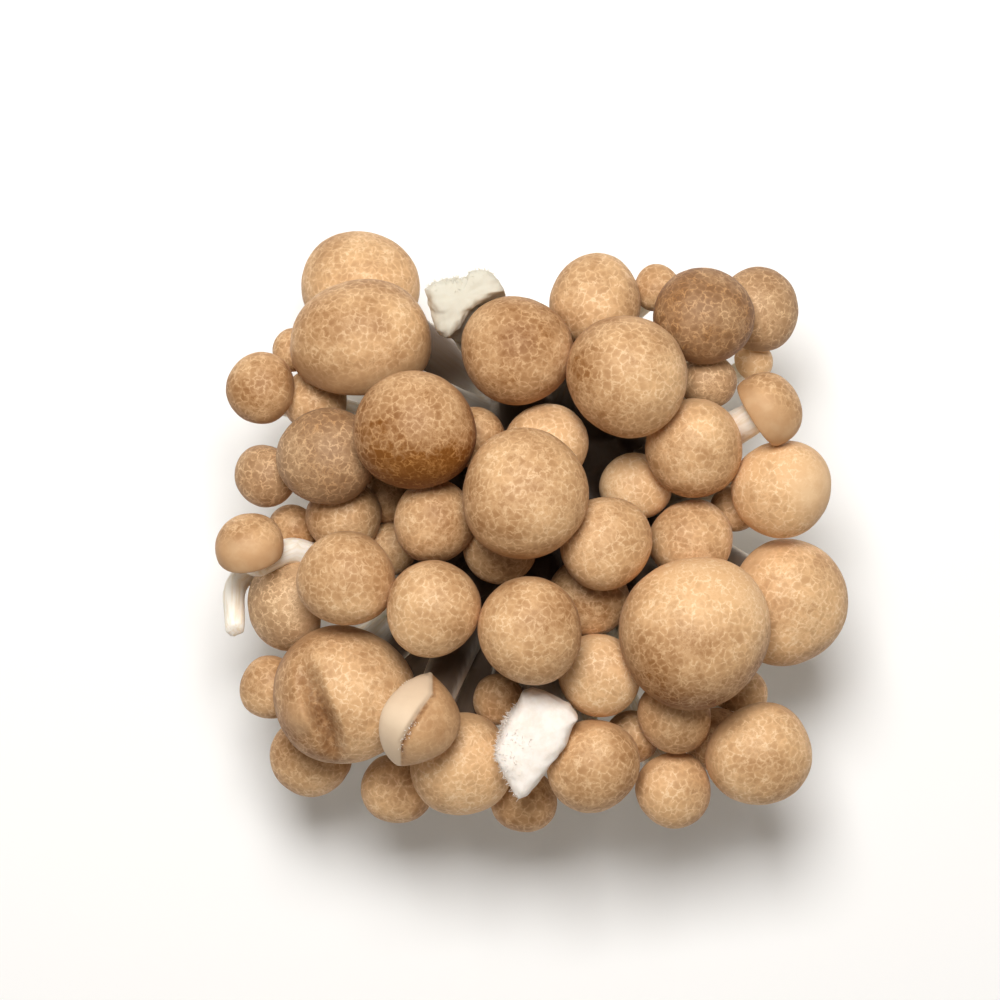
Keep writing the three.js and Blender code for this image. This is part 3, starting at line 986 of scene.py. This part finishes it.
def makeButt():
    outline = [(across, height * butt["height"]) for across, height in butt["outline"]]
    outline += [(across, height * butt["crown"]) for across, height in butt["crownOutline"]]
    sides = butt["sides"]
    places = []
    for across, height in outline:
        for i in range(sides):
            turn = 2 * math.pi * i / sides
            wave = sum((size * math.sin(count * turn + shift) for size, count, shift in butt["waves"]), 1)
            reach = across * wave * butt["radius"]
            place = Vector((reach * math.cos(turn), reach * math.sin(turn), height))
            if height > 0:
                place += place.normalized() * butt["lump"] * noise.noise(place / butt["lumpSize"])
            places.append(place)
    faces = [tuple(reversed(range(sides)))]
    for ring in range(len(outline) - 1):
        for i in range(sides):
            j = (i + 1) % sides
            a, b = ring * sides, (ring + 1) * sides
            faces.append((a + i, a + j, b + j, b + i))
    top = (len(outline) - 1) * sides
    places.append(Vector((0, 0, butt["crown"])))
    faces += [(top + i, top + (i + 1) % sides, len(places) - 1) for i in range(sides)]
    return meshObject("butt", places, faces)


# points along every stem with their own side directions, to know where on a stem each corner lies
def walkStems(routes):
    steps = []
    for route in routes:
        side, run = Vector((1, 0, 0)), 0
        for a, b in zip(route, route[1:]):
            forward = (b - a).normalized()
            side = (side - forward * side.dot(forward)).normalized()
            for i in range(stems["steps"]):
                share = i / stems["steps"]
                steps.append((a.lerp(b, share), side, forward.cross(side), run + (b - a).length * share))
            run += (b - a).length
    return steps


def makeStems():
    tops = makeTops()
    feet = placeFeet([top["seat"] for top in tops])
    routes = []
    for foot, top in zip(feet, tops):
        route = routeStem(foot, top, [cap for cap in caps if cap["number"] != top["number"]])
        if top["number"]:
            route.append(top["seat"] + top["axis"] * stems["intoCap"] * top["radius"])
        routes.append(route)
    mesh = bpy.data.meshes.new("stem routes")
    edges, start = [], 0
    for route in routes:
        edges += [(start + i, start + i + 1) for i in range(len(route) - 1)]
        start += len(route)
    mesh.from_pydata([point for route in routes for point in route], edges, [])
    storeValues(mesh, "neck", [top["neck"] for route, top in zip(routes, tops) for _ in route])
    host = newObject("stem host", mesh)
    useTree(host, makeStemTree(), stemTreeInputs, stemFlesh)
    loose = bakedCopy(host, "loose stems")

    whole = bmesh.new()
    whole.from_mesh(loose.data)
    base = makeButt()
    whole.from_mesh(base.data)
    bmesh.ops.recalc_face_normals(whole, faces=whole.faces)
    mesh = bpy.data.meshes.new("grown together")
    whole.to_mesh(mesh)
    whole.free()
    bpy.data.objects.remove(loose)
    bpy.data.objects.remove(base)
    grown = newObject("grown together", mesh)
    remesh = grown.modifiers.new("fuse", "REMESH")
    remesh.mode = "VOXEL"
    remesh.voxel_size = stems["voxel"]
    remesh.use_smooth_shade = True
    soften = grown.modifiers.new("soften", "SMOOTH")
    soften.factor, soften.iterations = stems["softening"]
    piece = bakedCopy(grown, "stems_and_base")
    piece.data.materials.clear()
    piece.data.materials.append(stemFlesh)
    finishStems(piece, routes)
    keep(piece, "stem_flesh", "stems_on_base")
    print("stems: %d faces" % len(piece.data.polygons))


# how much painted shade a place on the stems gets, with how far it faces up
def paintedShadeAt(place, facing):
    start, span = shade["heights"]
    reach = mix(*shade["reach"], min(max((place.z - start) / span, 0), 1))
    deep = 1 - smoothStep(*shade["edge"], math.hypot(place.x, place.y) / reach)
    shaded = smoothStep(*shade["wellBottom"], place.z) * smoothStep(*shade["wellFacing"], facing)
    for x, y, width in shade["wells"]:
        away = math.hypot(place.x - x * mm, place.y - y * mm) / (width * mm)
        deep = max(deep, shaded * (1 - smoothStep(*shade["wellEdge"], away)))
    return shade["most"] * deep


def finishStems(piece, routes):
    steps = walkStems(routes)
    tree = kdtree.KDTree(len(steps))
    for i, step in enumerate(steps):
        tree.insert(step[0], i)
    tree.balance()
    along, inside = [], []
    facings = [vertex.normal.z for vertex in piece.data.vertices]
    for vertex, facing in zip(piece.data.vertices, facings):
        place = vertex.co
        if place.z < stems["flat"]:
            place.z = 0
        spot, side, other, run = steps[tree.find(place)[1]]
        away = place - spot
        along.append((away.dot(side), away.dot(other), run))
        # painted shade, deep in the clump and in the hollows between caps
        inside.append(paintedShadeAt(place, facing))
    storeVectors(piece.data, "alongStem", along)
    storeValues(piece.data, "inside", inside)


makeStems()


# torn ends: where two stout stems broke off below their caps, as outlines seen from above in mm
tornEnds = {
    "front": {
        "outline": [
            (-2.5, -29.3), (-0.8, -28.8), (1.0, -29.3), (2.9, -30.3), (5.4, -31.6), (7.2, -33.5),
            (6.4, -34.8), (4.9, -37.5), (3.2, -40.7), (1.7, -42.7), (0.0, -44.7), (-1.7, -46.4),
            (-3.0, -46.9), (-4.0, -45.7), (-5.7, -43.2), (-6.5, -41.5), (-7.0, -39.7), (-7.0, -38.2),
            (-5.9, -35.2), (-4.9, -33.3), (-3.5, -31.6),
        ],
        "middle": 49.5 * mm,
        "rise": 2.7 * mm,
        "drop": 15 * mm,
        "stem": 4.25 * mm,
        "lean": 18,
        "towards": 250,
        "frayed": 190,  # direction of the side with loose fibres
        "ragged": 1.0,
        "dried": 0.0,
    },
    "back": {
        "outline": [
            (-18.9, 38.7), (-17.8, 40.0), (-15.3, 40.5), (-12.8, 40.5), (-11.2, 41.2), (-11.1, 41.9),
            (-9.2, 42.1), (-7.9, 41.7), (-6.7, 40.5), (-5.6, 38.4), (-7.4, 37.6), (-9.4, 36.5),
            (-11.3, 34.8), (-12.8, 32.6), (-14.9, 31.0), (-16.5, 32.1), (-17.6, 35.0),
        ],
        "middle": 46.5 * mm,
        "rise": 3.4 * mm,
        "drop": 14 * mm,
        "stem": 4.5 * mm,
        "lean": 24,
        "towards": 116,
        "frayed": 100,
        "ragged": 1.6,
        "dried": 0.8,
    },
}
tornShape = {
    "sides": 140,
    "rings": 36,
    "squareness": 0.32,
    "flatness": 0.9,
    "tipPower": 8,
    "flare": 0.7,  # share of the drop over which it narrows to the stem
    "lump": 0.6 * mm,
    "lumpSize": 4.5 * mm,
    "crumb": 0.16 * mm,
    "crumbSize": 1.1 * mm,
    "calm": 0.3,  # how ragged it is still where it meets the stem
    "frayEdge": (0.2, 0.8),
}
fibreTreeInputs = {
    "Density": 3e6,  # on each square metre
    "Fibre Length": 0.9 * mm,
    "Fibre Radius": 0.08 * mm,
    "Shortest": 0.35,
    "Tilt": 0.8,
    "Seed": 4,
}
flakeInputs = {
    **fibreTreeInputs,
    "Density": 3.5e6,
    "Fibre Length": 0.5 * mm,
    "Fibre Radius": 0.1 * mm,
    "Tilt": 1.3,
}


# points at even spaces round a closed outline
def evenly(outline, count):
    corners = [Vector((*corner, 0)) * mm for corner in outline]
    steps = [(b - a).length for a, b in zip(corners, corners[1:] + corners[:1])]
    points, i, done = [], 0, 0
    for k in range(count):
        run = k * sum(steps) / count
        while run > done + steps[i]:
            done += steps[i]
            i += 1
        points.append(corners[i].lerp(corners[(i + 1) % len(corners)], (run - done) / steps[i]))
    return points


def makeTornEnd(name, end):
    sides, rings = tornShape["sides"], tornShape["rings"]
    rim = evenly(end["outline"], sides)
    middle = sum(rim, Vector()) / sides
    side = directionOf(90, end["frayed"])
    places, fray = [], []
    for ring in range(rings + 1):
        angle = ring / rings * math.pi
        above = angle < math.pi / 2
        level = abs(math.cos(angle)) ** tornShape["flatness"]
        if above:
            share = max(math.sin(angle), 0) ** tornShape["squareness"]
        else:
            share = math.sqrt(max(1 - level ** tornShape["tipPower"], 0))
        toStem = 0 if above else smoothStep(0, tornShape["flare"], level)
        height = end["middle"] + level * (end["rise"] if above else -end["drop"])
        below = min(height - end["middle"], 0)
        under = directionOf(90, end["towards"]) * below * math.tan(math.radians(end["lean"]))
        for point in rim[:1] if ring in (0, rings) else rim:
            outward = point - middle
            outward = outward.lerp(outward.normalized() * end["stem"], toStem) * share
            place = middle + outward + under + up * height
            away = (outward.normalized() + up * math.cos(angle)).normalized()
            lump = tornShape["lump"] * noise.noise(place / tornShape["lumpSize"])
            crumb = tornShape["crumb"] * noise.noise(place / tornShape["crumbSize"])
            places.append(place + away * (lump + crumb) * mix(end["ragged"], tornShape["calm"], toStem))
            fray.append(smoothStep(*tornShape["frayEdge"], away.dot(side)))
    piece = meshObject("torn_end_%s" % name, places, closedFaces(rings - 1, sides))
    tidied = bmesh.new()
    tidied.from_mesh(piece.data)
    bmesh.ops.recalc_face_normals(tidied, faces=tidied.faces)
    tidied.to_mesh(piece.data)
    tidied.free()
    storeValues(piece.data, "fray", fray)
    storeValues(piece.data, "dried", [end["dried"]] * len(places))
    piece.data.materials.append(tornFlesh)
    keep(piece, "stem_flesh")
    return piece


def makeFibreTree():
    tree, add, given, output = newTree("loose fibres", fibreTreeInputs)
    fray = add(*stored, ["fray"])
    density = add(*times, [fray, given["Density"]])
    inputs = {"Mesh": given["Geometry"], "Density": density, "Seed": given["Seed"]}
    spots = add("GeometryNodeDistributePointsOnFaces", None, inputs)
    inputs = {"Vertices": 5, "Radius Top": 0.0, "Radius Bottom": given["Fibre Radius"]}
    fibre = add("GeometryNodeMeshCone", None, {**inputs, "Depth": given["Fibre Length"]})
    least = add(*times, [given["Tilt"], -1.0])
    lowest = add("ShaderNodeCombineXYZ", None, [least, least])
    highest = add("ShaderNodeCombineXYZ", None, [given["Tilt"], given["Tilt"]])
    inputs = {"Min": lowest, "Max": highest, "Seed": given["Seed"]}
    tilt = add("FunctionNodeRandomValue", {"data_type": "FLOAT_VECTOR"}, inputs)
    tilt = add("FunctionNodeEulerToRotation", None, [tilt])
    inputs = [spots.outputs["Rotation"], tilt]
    turned = add("FunctionNodeRotateRotation", {"rotation_space": "LOCAL"}, inputs)
    inputs = {"Min": given["Shortest"], "Max": 1.0, "Seed": given["Seed"]}
    length = add("FunctionNodeRandomValue", {"data_type": "FLOAT"}, inputs)
    inputs = {"Points": spots, "Instance": fibre, "Rotation": turned, "Scale": length}
    closeTree(add, given, output, add("GeometryNodeInstanceOnPoints", None, inputs))
    return tree


def scatterFibres(piece, tree, inputs, name):
    host = newObject("fibre host", piece.data.copy())
    useTree(host, tree, inputs, tornFlesh)
    fibres = bakedCopy(host, name)
    keep(fibres, "stem_flesh")
    print("%s: %d faces" % (name, len(fibres.data.polygons)))


def makeTornEnds():
    tree = makeFibreTree()
    for name, end in tornEnds.items():
        scatterFibres(makeTornEnd(name, end), tree, fibreTreeInputs, "torn_fibres_%s" % name)
    for number, fold in folds.items():
        if "frayed" in fold:
            scatterFibres(fineCapPieces[number], tree, flakeInputs, "torn_flakes_%02d" % number)


makeTornEnds()
